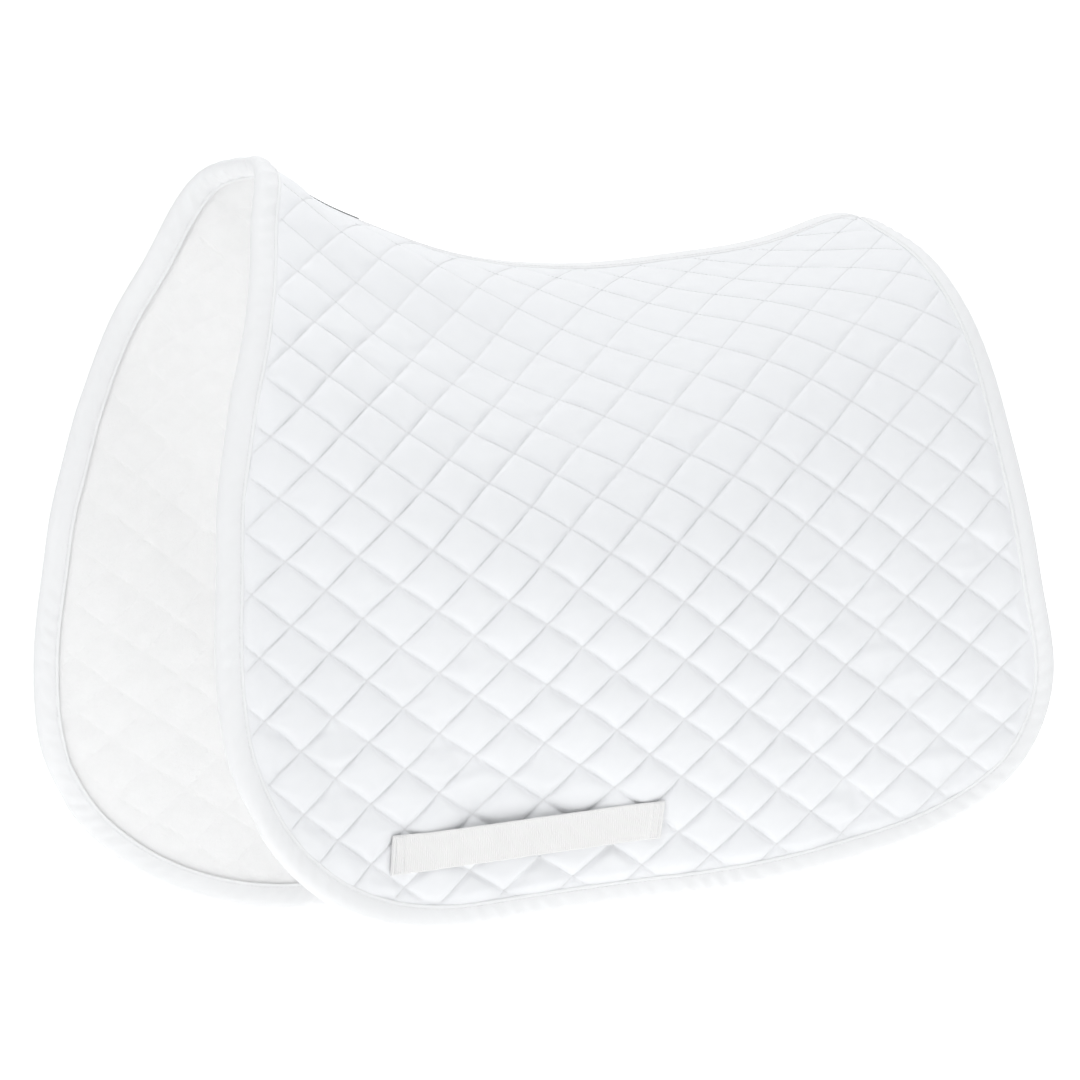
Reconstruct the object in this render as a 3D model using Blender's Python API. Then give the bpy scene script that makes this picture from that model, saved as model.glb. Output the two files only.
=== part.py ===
"""Quilted dressage saddle pad, modelled as it hangs over a horse's back.

Frame: metres, +Z up. -X is the front (the withers end), +X the rear, -Y the
near (left) side and +Y the off (right) side. The origin is under the lowest
part of the spine, where the pad rests on the horse's back. The pad is
symmetric about the plane y = 0, apart from the small blank label.

Each half of the pad is one cut panel of three layers (cover, wadding, lining)
whose edge is wrapped in a cotton binding. The two halves meet at the spine
under an outer and an inner tape. Each side carries a webbing girth keeper.
"""
import bpy
import bmesh
import numpy as np
from mathutils import Vector

# ------------------------------------------------------------------ sizes (m)
TOP_T = 0.014            # panels stop this far from the ridge, measured on the cloth
TAPE_T = 0.0165          # half width of the spine tapes on the cloth
TAPE_T_ENDS = 0.0135     # the tapes are tucked narrower between the binding's ends
BIND_W = 0.020           # width of the binding on each face of the pad
EDGE_IN = 0.0034         # the panels end this far inside the pad's outline
EDGE_GAP = 0.0012        # gap between the panels' edge and the binding's fold
NU, NV = 16, 14          # cells of each panel along the spine and down the flap
CORNER_STEP = 0.014      # spacing of the edge stations at the rounded corners

# heights above the pad's outer face, along its normal
COVER = (0.0, -0.0010)
WADDING = (-0.0013, -0.0067)
LINING = (-0.0070, -0.0080)
BIND_OUT, BIND_IN = (0.0003, 0.0014), (-0.0083, -0.0094)
TAPE_OUT, TAPE_IN = (0.0008, 0.0016), (-0.0083, -0.0091)

STRAP_X = (-0.2460, -0.0195)   # ends of the webbing along the flap
STRAP_W = -0.1930              # height of its centre line on the flat cut panel
STRAP_WIDTH = 0.0310
STRAP_THICK = 0.0016
STRAP_TAB, STRAP_RAMP = 0.010, 0.026
STRAP_SEAT = 0.0012            # sewn ends above the cover
STRAP_GAP = 0.0095             # clear space under the middle of the webbing

LABEL_X = (-0.238, -0.190)     # blank woven label, sewn over the spine tape
LABEL_F = (0.25, 0.70)      # how far it reaches to the near and off side, as shares of the tape

# ------------------------------------------------- shape of the draped surface
# ridge line of the spine seam
SPINE_X = (-0.280, -0.237, -0.186, -0.116, -0.046, 0.027, 0.101, 0.177, 0.216, 0.252, 0.284)
SPINE_Z = (0.3087, 0.2808, 0.2586, 0.2366, 0.2274, 0.2285, 0.2374, 0.2498, 0.2620, 0.2715, 0.2640)
NOSE_SLOPE, TAIL_SLOPE = -0.50, -0.12
# the flat cut panel's top edge stands this far above the ridge line
CUT_X = (-0.28, -0.20, -0.10, 0.0, 0.10, 0.20, 0.28)
CUT_EXTRA = (0.109, 0.111, 0.109, 0.111, 0.116, 0.116, 0.114)
# downward slope of the cloth (degrees) at arc lengths ARC_T from the ridge,
# in four cross-sections along the pad
STATION_X = (-0.32, -0.12, 0.08, 0.28)
ARC_T = (0.0, 0.05, 0.10, 0.17, 0.26, 0.38, 0.58)
SLOPE_DEG = ((14, 8, 69, 49, 71, 83, 90),
             (7, 24, 63, 46, 54, 96, 107),
             (10, 26, 24, 46, 71, 92, 104),
             (8, 14, 23, 50, 74, 89, 98))
# the off flap hangs a little lower and closer in than the near one: this shift
# grows from its shoulder to its hem, between the two arc lengths
OFF_HANG = (-0.007, -0.0275, -0.0275)
HANG_T = (0.04, 0.50)
# outline of one flap on the flat cut panel: from the withers down the front
# edge, along the hem and up the rear edge
OUTLINE = ((-0.301, 0.349), (-0.313, 0.314), (-0.324, 0.273), (-0.338, 0.229), (-0.352, 0.186),
           (-0.364, 0.147), (-0.373, 0.109), (-0.381, 0.070), (-0.385, 0.028), (-0.389, -0.015),
           (-0.390, -0.055), (-0.388, -0.089), (-0.382, -0.122), (-0.369, -0.152), (-0.351, -0.180),
           (-0.327, -0.204), (-0.299, -0.224), (-0.265, -0.241), (-0.225, -0.254), (-0.180, -0.262),
           (-0.120, -0.264), (-0.050, -0.263), (0.020, -0.261), (0.091, -0.255), (0.146, -0.247),
           (0.197, -0.237), (0.242, -0.222), (0.279, -0.202), (0.306, -0.176), (0.324, -0.144),
           (0.331, -0.108), (0.328, -0.077), (0.320, -0.042), (0.312, 0.001), (0.304, 0.046),
           (0.295, 0.096), (0.288, 0.146), (0.282, 0.190), (0.276, 0.232), (0.273, 0.272),
           (0.272, 0.310), (0.275, 0.340))
OUTLINE_START_X, OUTLINE_END_X = -0.2852, 0.2830
FRONT_CORNER = (-0.345, -0.186)
REAR_CORNER = (0.311, -0.170)


def spline(xk, yk, x, s0=None, s1=None):
    """Cubic spline through knots; natural ends or given end slopes; straight beyond."""
    xk = np.asarray(xk, float)
    yk = np.asarray(yk, float)
    n = len(xk)
    h = np.diff(xk)
    A = np.zeros((n, n))
    r = np.zeros((n,) + yk.shape[1:])
    for i in range(1, n - 1):
        A[i, i - 1] = h[i - 1]
        A[i, i] = 2 * (h[i - 1] + h[i])
        A[i, i + 1] = h[i]
        r[i] = 6 * ((yk[i + 1] - yk[i]) / h[i] - (yk[i] - yk[i - 1]) / h[i - 1])
    A[0, 0] = 1
    A[-1, -1] = 1
    if s0 is not None:
        A[0, 0], A[0, 1] = 2 * h[0], h[0]
        r[0] = 6 * ((yk[1] - yk[0]) / h[0] - s0)
    if s1 is not None:
        A[-1, -1], A[-1, -2] = 2 * h[-1], h[-1]
        r[-1] = 6 * (s1 - (yk[-1] - yk[-2]) / h[-1])
    M = np.linalg.solve(A, r)
    x = np.asarray(x, float)
    xc = np.clip(x, xk[0], xk[-1])
    k = np.clip(np.searchsorted(xk, xc, side='right') - 1, 0, n - 2)
    sh = x.shape + (1,) * (yk.ndim - 1)
    a = ((xk[k + 1] - xc) / h[k]).reshape(sh)
    b = ((xc - xk[k]) / h[k]).reshape(sh)
    hh = h[k].reshape(sh)
    v = a * yk[k] + b * yk[k + 1] + ((a ** 3 - a) * M[k] + (b ** 3 - b) * M[k + 1]) * hh * hh / 6
    e0 = (yk[1] - yk[0]) / h[0] - h[0] * (2 * M[0] + M[1]) / 6
    e1 = (yk[-1] - yk[-2]) / h[-1] + h[-1] * (M[-2] + 2 * M[-1]) / 6
    lo = np.minimum(x - xk[0], 0).reshape(sh)
    hi = np.maximum(x - xk[-1], 0).reshape(sh)
    return v + lo * e0 + hi * e1


def spine_z(x):
    """Height of the ridge, carried on past its ends for the flaps' free edges."""
    x = np.asarray(x, float)
    v = spline(SPINE_X, SPINE_Z, np.clip(x, SPINE_X[0], SPINE_X[-1]), NOSE_SLOPE, -0.5)
    return v + np.minimum(x - SPINE_X[0], 0) * NOSE_SLOPE + np.maximum(x - SPINE_X[-1], 0) * TAIL_SLOPE


def cut_w(x):
    """Top edge of the flat cut panel at x."""
    return spine_z(x) + spline(CUT_X, CUT_EXTRA, np.clip(x, -0.36, 0.34))


TX = np.linspace(-0.46, 0.42, 177)
DTT = 0.0025
TT = np.arange(0, 0.80, DTT)


def arch_tables():
    """Half width and drop of the draped cloth over (x, arc length)."""
    tm = TT[:-1] + DTT / 2
    rows = np.radians(np.array([np.interp(tm, ARC_T, s) for s in SLOPE_DEG]))
    k = 17
    pad = np.concatenate([np.repeat(rows[:, :1], k, 1), rows, np.repeat(rows[:, -1:], k, 1)], 1)
    for _ in range(2):                       # rounds the bends of the slope table
        c = np.cumsum(np.concatenate([np.zeros((4, 1)), pad], 1), 1)
        w = k // 2
        sm = pad.copy()
        sm[:, w:-w] = (c[:, k:] - c[:, :-k]) / k
        pad = sm
    phi = spline(STATION_X, pad[:, k:-k], np.clip(TX, -0.36, 0.34))
    zero = np.zeros((len(TX), 1))
    Y = np.concatenate([zero, np.cumsum(np.cos(phi), 1) * DTT], 1)
    D = np.concatenate([zero, np.cumsum(np.sin(phi), 1) * DTT], 1)
    return Y, D, phi


ARCH_Y, ARCH_D, ARCH_PHI = arch_tables()


def look(tab, x, t):
    fx = np.clip((np.asarray(x) - TX[0]) / (TX[1] - TX[0]), 0, len(TX) - 1.0001)
    ft = np.clip(np.asarray(t) / DTT, 0, tab.shape[1] - 1.0001)
    i = fx.astype(int)
    j = ft.astype(int)
    u = fx - i
    v = ft - j
    return (tab[i, j] * (1 - u) + tab[i + 1, j] * u) * (1 - v) + (tab[i, j + 1] * (1 - u) + tab[i + 1, j + 1] * u) * v


def ridge_point(x, level):
    """On the spine's ridge, a height above the outer face."""
    phi = float(look(ARCH_PHI, x, 0.0))
    return np.array([x, 0.0, float(spine_z(x)) + level / np.cos(phi) - ORIGIN_Z])


def pad_point(x, t, side, level=0.0):
    """On the pad's outer face at arc length t from the ridge, raised by level."""
    x = np.asarray(x, float)
    t = np.asarray(t, float)
    h = 0.004

    def raw(xx, tt):
        p = np.stack([xx + 0 * tt, side * look(ARCH_Y, xx, tt), spine_z(xx) - look(ARCH_D, xx, tt)], -1)
        if side > 0:
            k = np.clip((tt - HANG_T[0]) / (HANG_T[1] - HANG_T[0]), 0, 1)
            p = p + (k * k * (3 - 2 * k))[..., None] * np.array(OFF_HANG)
        return p
    tc = np.maximum(t, h)
    n = np.cross(raw(x + h, t) - raw(x - h, t), raw(x, tc + h) - raw(x, tc - h)) * side
    n /= np.linalg.norm(n, axis=-1, keepdims=True)
    return raw(x, t) + n * level - np.array([0.0, 0.0, ORIGIN_Z])


ORIGIN_Z = 0.0
ORIGIN_Z = float(ridge_point(0.0, TAPE_IN[1])[2])

# ------------------------------------------------------------ outline stations
START_W = float(cut_w(OUTLINE_START_X)) - TOP_T
END_W = float(cut_w(OUTLINE_END_X)) - TOP_T
PATH = np.array(((OUTLINE_START_X, START_W),) + OUTLINE + ((OUTLINE_END_X, END_W),))
PATH_S = np.concatenate([[0], np.cumsum(np.linalg.norm(np.diff(PATH, axis=0), axis=1))])
PATH_L = PATH_S[-1]


def edge(s, inset):
    """Point of the outline at path length s, moved inwards on the flat panel."""
    p = spline(PATH_S, PATH, np.array([s]))[0]
    d = spline(PATH_S, PATH, np.array([min(s + 0.002, PATH_L)]))[0] - spline(PATH_S, PATH, np.array([max(s - 0.002, 0)]))[0]
    d /= np.linalg.norm(d)
    return p + inset * np.array([-d[1], d[0]])


def nearest_s(p):
    ss = np.linspace(0, PATH_L, 2400)
    q = spline(PATH_S, PATH, ss)
    return float(ss[np.argmin(((q - np.array(p)) ** 2).sum(1))])


S_FRONT, S_REAR = nearest_s(FRONT_CORNER), nearest_s(REAR_CORNER)


def panel_grid():
    """Flat (x, w) positions of the panel's grid: the outer ring is the cut edge,
    the next ring is the binding's inner edge, and the rest is evenly relaxed."""
    G = np.zeros((NU + 1, NV + 1, 2))
    fr = [S_FRONT * j / (NV - 1) for j in range(NV)]
    rr = [PATH_L - (PATH_L - S_REAR) * j / (NV - 1) for j in range(NV)]
    hm = [S_FRONT + (S_REAR - S_FRONT) * (i - 1) / (NU - 2) for i in range(1, NU)]
    s_front = fr[:-1] + [S_FRONT - CORNER_STEP, S_FRONT]
    s_rear = rr[:-1] + [S_REAR + CORNER_STEP, S_REAR]
    for j in range(NV + 1):
        G[0, j] = edge(s_front[j], EDGE_IN)
        G[NU, j] = edge(s_rear[j], EDGE_IN)
    for j in range(NV):
        G[1, j] = edge(fr[j], BIND_W)
        G[NU - 1, j] = edge(rr[j], BIND_W)
    hem_s = [S_FRONT] + [S_FRONT + CORNER_STEP] + hm[1:-1] + [S_REAR - CORNER_STEP] + [S_REAR]
    for i in range(NU + 1):
        G[i, NV] = edge(hem_s[i], EDGE_IN)
    for i in range(1, NU):
        G[i, NV - 1] = edge(hm[i - 1], BIND_W)
    x0, x1, x2, x3 = G[0, 0, 0], G[1, 0, 0], G[NU - 1, 0, 0], G[NU, 0, 0]
    xs = [x0] + list(np.linspace(x1, x2, NU - 1)) + [x3]
    for i, x in enumerate(xs):
        G[i, 0] = (x, float(cut_w(x)) - TOP_T)
    # interior: every vertex is the mean of its four neighbours
    idx = {}
    for i in range(2, NU - 1):
        for j in range(1, NV - 1):
            idx[(i, j)] = len(idx)
    A = np.zeros((len(idx), len(idx)))
    r = np.zeros((len(idx), 2))
    for (i, j), k in idx.items():
        A[k, k] = 4
        for q in ((i - 1, j), (i + 1, j), (i, j - 1), (i, j + 1)):
            if q in idx:
                A[k, idx[q]] -= 1
            else:
                r[k] += G[q]
    sol = np.linalg.solve(A, r)
    for (i, j), k in idx.items():
        G[i, j] = sol[k]
    return G, s_front, s_rear, hem_s


GRID, EDGE_S_FRONT, EDGE_S_REAR, EDGE_S_HEM = panel_grid()


def on_pad(xw, side, level):
    x, w = float(xw[0]), float(xw[1])
    return pad_point(x, float(cut_w(x)) - w, side, level)


# ------------------------------------------------------------------- builders
def material(name, color, rough, sheen=0.0):
    m = bpy.data.materials.new(name)
    m.use_nodes = True
    b = m.node_tree.nodes["Principled BSDF"]
    b.inputs["Base Color"].default_value = (color[0], color[1], color[2], 1.0)
    b.inputs["Roughness"].default_value = rough
    b.inputs["Metallic"].default_value = 0.0
    b.inputs["Sheen Weight"].default_value = sheen
    m.diffuse_color = (color[0], color[1], color[2], 1.0)
    return m


def add_solid(name, verts, faces, mat, origin=(0, 0, 0), flip=False):
    """One closed body from points and faces; faces that collapsed are dropped."""
    key, order, index = {}, [], []
    for v in verts:
        k = tuple(int(round(c * 1e7)) for c in v)
        if k not in key:
            key[k] = len(order)
            order.append(v)
        index.append(key[k])
    clean = []
    for f in faces:
        g = []
        for a in f:
            b = index[a]
            if not g or g[-1] != b:
                g.append(b)
        if len(g) > 1 and g[0] == g[-1]:
            g.pop()
        if len(set(g)) == len(g) and len(g) >= 3:
            clean.append(g[::-1] if flip else g)
    me = bpy.data.meshes.new(name)
    o = Vector(origin)
    me.from_pydata([tuple(Vector(v) - o) for v in order], [], clean)
    bm = bmesh.new()
    bm.from_mesh(me)
    bmesh.ops.recalc_face_normals(bm, faces=bm.faces)
    bm.to_mesh(me)
    bm.free()
    me.update()
    me.materials.append(mat)
    ob = bpy.data.objects.new(name, me)
    ob.location = o
    bpy.context.scene.collection.objects.link(ob)
    return ob


def sheet_solid(name, side, levels, mat):
    """A panel layer: the grid at two heights, with the same triangles on both."""
    V, F = [], []
    n = (NU + 1) * (NV + 1)
    for lv in levels:
        for i in range(NU + 1):
            for j in range(NV + 1):
                V.append(on_pad(GRID[i, j], side, lv))

    def a(i, j, top=True):
        return i * (NV + 1) + j + (0 if top else n)
    for i in range(NU):
        for j in range(NV):
            q = (a(i, j), a(i + 1, j), a(i + 1, j + 1), a(i, j + 1))
            d = (0, 1, 2), (0, 2, 3)
            hem = j == NV - 1 and i > 0
            if i == 0 or (i >= NU // 2 and not hem):
                d = (0, 1, 3), (1, 2, 3)
            for tri in d:
                F.append([q[k] for k in tri])
                F.append([q[k] + n for k in tri][::-1])
    ring = [(0, j) for j in range(NV + 1)] + [(i, NV) for i in range(1, NU + 1)] + \
           [(NU, j) for j in range(NV - 1, -1, -1)] + [(i, 0) for i in range(NU - 1, 0, -1)]
    for k in range(len(ring)):
        p, q = ring[k], ring[(k + 1) % len(ring)]
        F.append([a(*p), a(*q), a(*q, top=False), a(*p, top=False)])
    return add_solid(name, V, F, mat, HINGE_MID)


def rim_stations():
    """The cut edge's vertices in order, with the grid vertex inside each one."""
    st = []
    for j in range(NV + 1):
        st.append((EDGE_S_FRONT[j], (0, j), (1, min(j, NV - 1))))
    for i in range(1, NU):
        st.append((EDGE_S_HEM[i], (i, NV), (i, NV - 1)))
    for j in range(NV, -1, -1):
        st.append((EDGE_S_REAR[j], (NU, j), (NU - 1, min(j, NV - 1))))
    return st


def swept(name, loops, mat, cap):
    """Closed loops of points joined into a tube, with its end caps as given."""
    m = len(loops[0])
    V = [p for lp in loops for p in lp]
    F = []
    for k in range(len(loops) - 1):
        for e in range(m):
            f = (e + 1) % m
            F.append([k * m + e, k * m + f, (k + 1) * m + f, (k + 1) * m + e])
    last = (len(loops) - 1) * m
    for c in cap:
        F.append(list(c)[::-1])
        F.append([last + k for k in c])
    return V, F


def triangulated(V, F, m=0, flipped=()):
    """Splits quads in two. Sides of the section listed in flipped take the other diagonal."""
    out = []
    for f in F:
        if len(f) == 4 and m and abs(f[0] - f[3]) == m and f[0] % m in flipped:
            out += [[f[0], f[1], f[3]], [f[1], f[2], f[3]]]
        elif len(f) == 4:
            out += [[f[0], f[1], f[2]], [f[0], f[2], f[3]]]
        else:
            out.append(list(f))
    return V, out


def binding_solid(name, side, mat):
    """Folded strip that wraps the cut edge: outer leg, fold and inner leg."""
    loops = []
    for s, rim, ins in rim_stations():
        i, r = GRID[ins], GRID[rim]
        g, o = edge(s, EDGE_IN - EDGE_GAP), edge(s, 0.0)
        loops.append([on_pad(i, side, BIND_OUT[1]), on_pad(o, side, BIND_OUT[1]),
                      on_pad(o, side, BIND_IN[1]), on_pad(i, side, BIND_IN[1]),
                      on_pad(i, side, BIND_IN[0]), on_pad(r, side, BIND_IN[0]), on_pad(g, side, BIND_IN[0]),
                      on_pad(g, side, BIND_OUT[0]), on_pad(r, side, BIND_OUT[0]), on_pad(i, side, BIND_OUT[0])])
    V, F = swept(name, loops, mat, ((0, 1, 7, 8), (0, 8, 9), (1, 2, 6, 7), (2, 3, 4, 5), (2, 5, 6)))
    # split along the same diagonals as the panel's outer ring of cells
    V, F = triangulated(V, F, 10, (2, 7, 8))
    return add_solid(name, V, F, mat, HINGE_MID)


def binding_stitch(name, side, mat):
    """Sewing thread along the inner edge of the binding."""
    loops = []
    for s, rim, ins in rim_stations():
        o, i = edge(s, EDGE_IN), GRID[ins]
        p = []
        for f, lv in ((0.81, 0.0021), (0.87, 0.0021), (0.87, 0.0029), (0.81, 0.0029)):
            p.append(on_pad(o, side, lv) * (1 - f) + on_pad(i, side, lv) * f)
        loops.append(p)
    V, F = swept(name, loops[1:-1], mat, ((0, 1, 2, 3),))
    V, F = triangulated(V, F)
    return add_solid(name, V, F, mat, HINGE_MID)


def tape_edge(i, side, level):
    """Edge of the tape at top-row station i, on the straight run of the panel's facets."""
    ends = i in (0, 1, NU - 1, NU)
    x = float(GRID[i, 0, 0])
    if ends:
        return pad_point(x, TAPE_T_ENDS, side, level)
    a, b = on_pad(GRID[i, 0], side, level), on_pad(GRID[i, 1], side, level)
    t1 = float(cut_w(GRID[i, 1, 0])) - GRID[i, 1, 1]
    f = (TAPE_T - TOP_T) / (t1 - TOP_T)
    return a * (1 - f) + b * f


def tape_at(i, f, level):
    """Across the tape at station i: f = -1 near edge, 0 ridge, +1 off edge."""
    x = float(GRID[i, 0, 0])
    r = ridge_point(x, level)
    e = tape_edge(i, -1 if f < 0 else 1, level)
    return r * (1 - abs(f)) + e * abs(f)


def tape_solid(name, levels, mat):
    loops = []
    for i in range(NU + 1):
        hi, lo = levels
        loops.append([tape_at(i, -1, hi), tape_at(i, 0, hi), tape_at(i, 1, hi),
                      tape_at(i, 1, lo), tape_at(i, 0, lo), tape_at(i, -1, lo)])
    V, F = swept(name, loops, mat, ((0, 1, 4, 5), (1, 2, 3, 4)))
    V, F = triangulated(V, F)
    return add_solid(name, V, F, mat, (0, 0, 0))


def tape_stitch(name, side, mat):
    loops = []
    for i in range(1, NU):
        p = []
        for f, lv in ((0.78, 0.0019), (0.85, 0.0019), (0.85, 0.0026), (0.78, 0.0026)):
            p.append(tape_at(i, side * f, lv))
        loops.append(p)
    V, F = swept(name, loops, mat, ((0, 1, 2, 3),))
    V, F = triangulated(V, F)
    return add_solid(name, V, F, mat, (0, 0, 0))


def tape_between(x, f, level):
    xs = [float(GRID[i, 0, 0]) for i in range(NU + 1)]
    k = max(i for i in range(NU) if xs[i] <= x)
    u = (x - xs[k]) / (xs[k + 1] - xs[k])
    return tape_at(k, f, level) * (1 - u) + tape_at(k + 1, f, level) * u


def label_solid(name, mat):
    """Small plain woven label over the ridge, reaching down the off side."""
    xs = [float(GRID[i, 0, 0]) for i in range(NU + 1)]
    st = [LABEL_X[0]] + [x for x in xs if LABEL_X[0] + 0.002 < x < LABEL_X[1] - 0.002] + [LABEL_X[1]]
    loops = []
    for x in st:
        lp = []
        for lv, fs in ((0.0029, (-LABEL_F[0], 0.0, LABEL_F[1])), (0.0020, (LABEL_F[1], 0.0, -LABEL_F[0]))):
            lp += [tape_between(x, f, lv) for f in fs]
        loops.append(lp)
    V, F = swept(name, loops, mat, ((0, 1, 4, 5), (1, 2, 3, 4)))
    V, F = triangulated(V, F)
    return add_solid(name, V, F, mat, (0, 0, 0))


def strap_frames(side):
    """Centre, along, across and outward directions at the webbing's stations."""
    def surf(x, w, lv):
        return pad_point(x, float(cut_w(x)) - w, side, lv)

    def frame(x, lv):
        c = surf(x, STRAP_W, lv)
        v = surf(x, STRAP_W + 0.01, lv) - surf(x, STRAP_W - 0.01, lv)
        v /= np.linalg.norm(v)
        u = surf(x + 0.008, STRAP_W, lv) - surf(x - 0.008, STRAP_W, lv)
        u -= v * (u @ v)
        u /= np.linalg.norm(u)
        return c, u, v, np.cross(u, v) * side * -1
    xa, xb = STRAP_X
    mid = 0.5 * (xa + xb)
    half = STRAP_THICK / 2
    low = STRAP_SEAT + half
    c0, _, _, _ = frame(xa + STRAP_TAB + STRAP_RAMP, STRAP_GAP + half)
    c1, _, _, _ = frame(xb - STRAP_TAB - STRAP_RAMP, STRAP_GAP + half)
    _, _, vm, nm = frame(mid, STRAP_GAP)
    u = (c1 - c0) / np.linalg.norm(c1 - c0)
    v = vm - u * (vm @ u)
    v /= np.linalg.norm(v)
    n = np.cross(u, v)
    if n @ nm < 0:
        n = -n
    ends = [frame(xa, low), frame(xa + STRAP_TAB, low), (c0, u, v, n), (c1, u, v, n),
            frame(xb - STRAP_TAB, low), frame(xb, low)]
    out = []
    for c, uu, vv, nn in ends:
        if nn @ nm < 0:
            nn = -nn
        out.append((c, uu, vv, nn))
    return out


def strap_solid(name, side, mat):
    loops = []
    h, w = STRAP_THICK / 2, STRAP_WIDTH / 2
    for c, u, v, n in strap_frames(side):
        loops.append([c + v * w + n * h, c - v * w + n * h, c - v * w - n * h, c + v * w - n * h])
    V, F = swept(name, loops, mat, ((0, 1, 2, 3),))
    V, F = triangulated(V, F)
    return add_solid(name, V, F, mat, HINGE_MID)


def strap_stitch(name, side, end, mat):
    """Stitch line across one sewn end of the webbing."""
    fr = strap_frames(side)
    (c0, u0, v0, n0), (c1, u1, v1, n1) = (fr[0], fr[1]) if end == 0 else (fr[4], fr[5])
    c, v, n = 0.5 * (c0 + c1), v0, n0
    u = (c1 - c0) / np.linalg.norm(c1 - c0)
    w = STRAP_WIDTH / 2 - 0.003
    a, b = STRAP_THICK / 2 + 0.0004, STRAP_THICK / 2 + 0.0012
    loops = [[c + v * d - u * 0.0006 + n * a, c + v * d + u * 0.0006 + n * a,
              c + v * d + u * 0.0006 + n * b, c + v * d - u * 0.0006 + n * b] for d in (w, -w)]
    V, F = swept(name, loops, mat, ((0, 1, 2, 3),))
    V, F = triangulated(V, F)
    return add_solid(name, V, F, mat, HINGE_MID)


# --------------------------------------------------------------- fold axes
# Each flap folds about the line of the spine seam, taken as one straight axis
# from just under the withers end to just above the cantle end.
HINGE_FRONT = (-0.28, 0.0, 0.070)
HINGE_REAR = (0.28, 0.0, 0.030)
HINGE_MID = tuple(0.5 * (a + b) for a, b in zip(HINGE_FRONT, HINGE_REAR))

for ob in list(bpy.data.objects):
    bpy.data.objects.remove(ob, do_unlink=True)

cotton = material("cotton_cover", (0.90, 0.90, 0.91), 0.85, 0.3)
fill = material("polyester_wadding", (0.92, 0.92, 0.92), 0.95)
fleece = material("brushed_lining", (0.91, 0.91, 0.91), 0.95, 0.5)
bind = material("cotton_binding", (0.90, 0.90, 0.90), 0.80, 0.2)
tape = material("cotton_tape", (0.90, 0.90, 0.90), 0.80, 0.2)
web = material("ribbed_webbing", (0.86, 0.855, 0.845), 0.70, 0.1)
thread = material("sewing_thread", (0.88, 0.88, 0.88), 0.60)
dark = material("woven_label", (0.06, 0.065, 0.08), 0.75)

tape_solid("spine_tape_outer", (TAPE_OUT[1], TAPE_OUT[0]), tape)
tape_solid("spine_tape_inner", TAPE_IN, tape)
tape_stitch("spine_stitch_left", -1, thread)
tape_stitch("spine_stitch_right", 1, thread)
label_solid("blank_label", dark)

for tag, side in (("left", -1), ("right", 1)):
    sheet_solid("outer_cover_" + tag, side, COVER, cotton)
    sheet_solid("wadding_" + tag, side, WADDING, fill)
    sheet_solid("lining_" + tag, side, LINING, fleece)
    binding_solid("edge_binding_" + tag, side, bind)
    binding_stitch("binding_stitch_" + tag, side, thread)
    strap_solid("girth_strap_" + tag, side, web)
    strap_stitch("strap_stitch_front_" + tag, side, 0, thread)
    strap_stitch("strap_stitch_rear_" + tag, side, 1, thread)
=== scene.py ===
import math
import bmesh
import bpy
import numpy as np
from mathutils import Matrix, Vector


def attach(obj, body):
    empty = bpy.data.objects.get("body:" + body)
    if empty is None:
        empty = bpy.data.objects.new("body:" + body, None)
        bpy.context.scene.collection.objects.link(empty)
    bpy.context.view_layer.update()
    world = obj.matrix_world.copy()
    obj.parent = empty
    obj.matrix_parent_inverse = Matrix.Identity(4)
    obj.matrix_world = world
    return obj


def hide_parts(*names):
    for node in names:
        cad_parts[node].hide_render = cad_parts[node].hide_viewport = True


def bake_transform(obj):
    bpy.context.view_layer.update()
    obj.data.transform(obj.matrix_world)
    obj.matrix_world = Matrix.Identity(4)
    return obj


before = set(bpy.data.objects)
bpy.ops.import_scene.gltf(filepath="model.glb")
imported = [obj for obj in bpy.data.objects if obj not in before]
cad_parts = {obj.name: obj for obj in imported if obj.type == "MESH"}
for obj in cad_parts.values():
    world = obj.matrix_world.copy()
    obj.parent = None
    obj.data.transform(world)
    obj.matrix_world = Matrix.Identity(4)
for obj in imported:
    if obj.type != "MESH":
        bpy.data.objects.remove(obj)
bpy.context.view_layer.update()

rng = np.random.RandomState(7)

# ---------------------------------------------------------------- sizes (m)
BIND_W = 0.020                  # binding's width on each face
TAPE_T = 0.0165                 # half width of the spine tape on the cloth
RIDGE_R = 0.0035                # the pad's own rounding over the ridge
SEAM_LEVEL, PUFF = -0.0023, 0.0058          # quilting on the outer face
BORDER = -0.0006                # flat border held under the binding and the tape
LINING_SEAM, LINING_PUFF = -0.0068, 0.0015  # quilting on the lining
QUILT_P, QUILT_Q = 0.0575, 0.0460           # diamond's length and height
QUILT_X0, QUILT_W0, QUILT_TILT = -0.1269, -0.0303, 0.0584

STRAP_X = (-0.2460, -0.0195)
STRAP_W = -0.1930
STRAP_WIDTH = 0.0310
STRAP_THICK = 0.0016
STRAP_TAB, STRAP_RAMP = 0.010, 0.026
STRAP_SEAT = 0.0012
STRAP_GAP = 0.0026
LABEL_X = (-0.238, -0.190)
LABEL_F = (0.34, 0.70)

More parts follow.
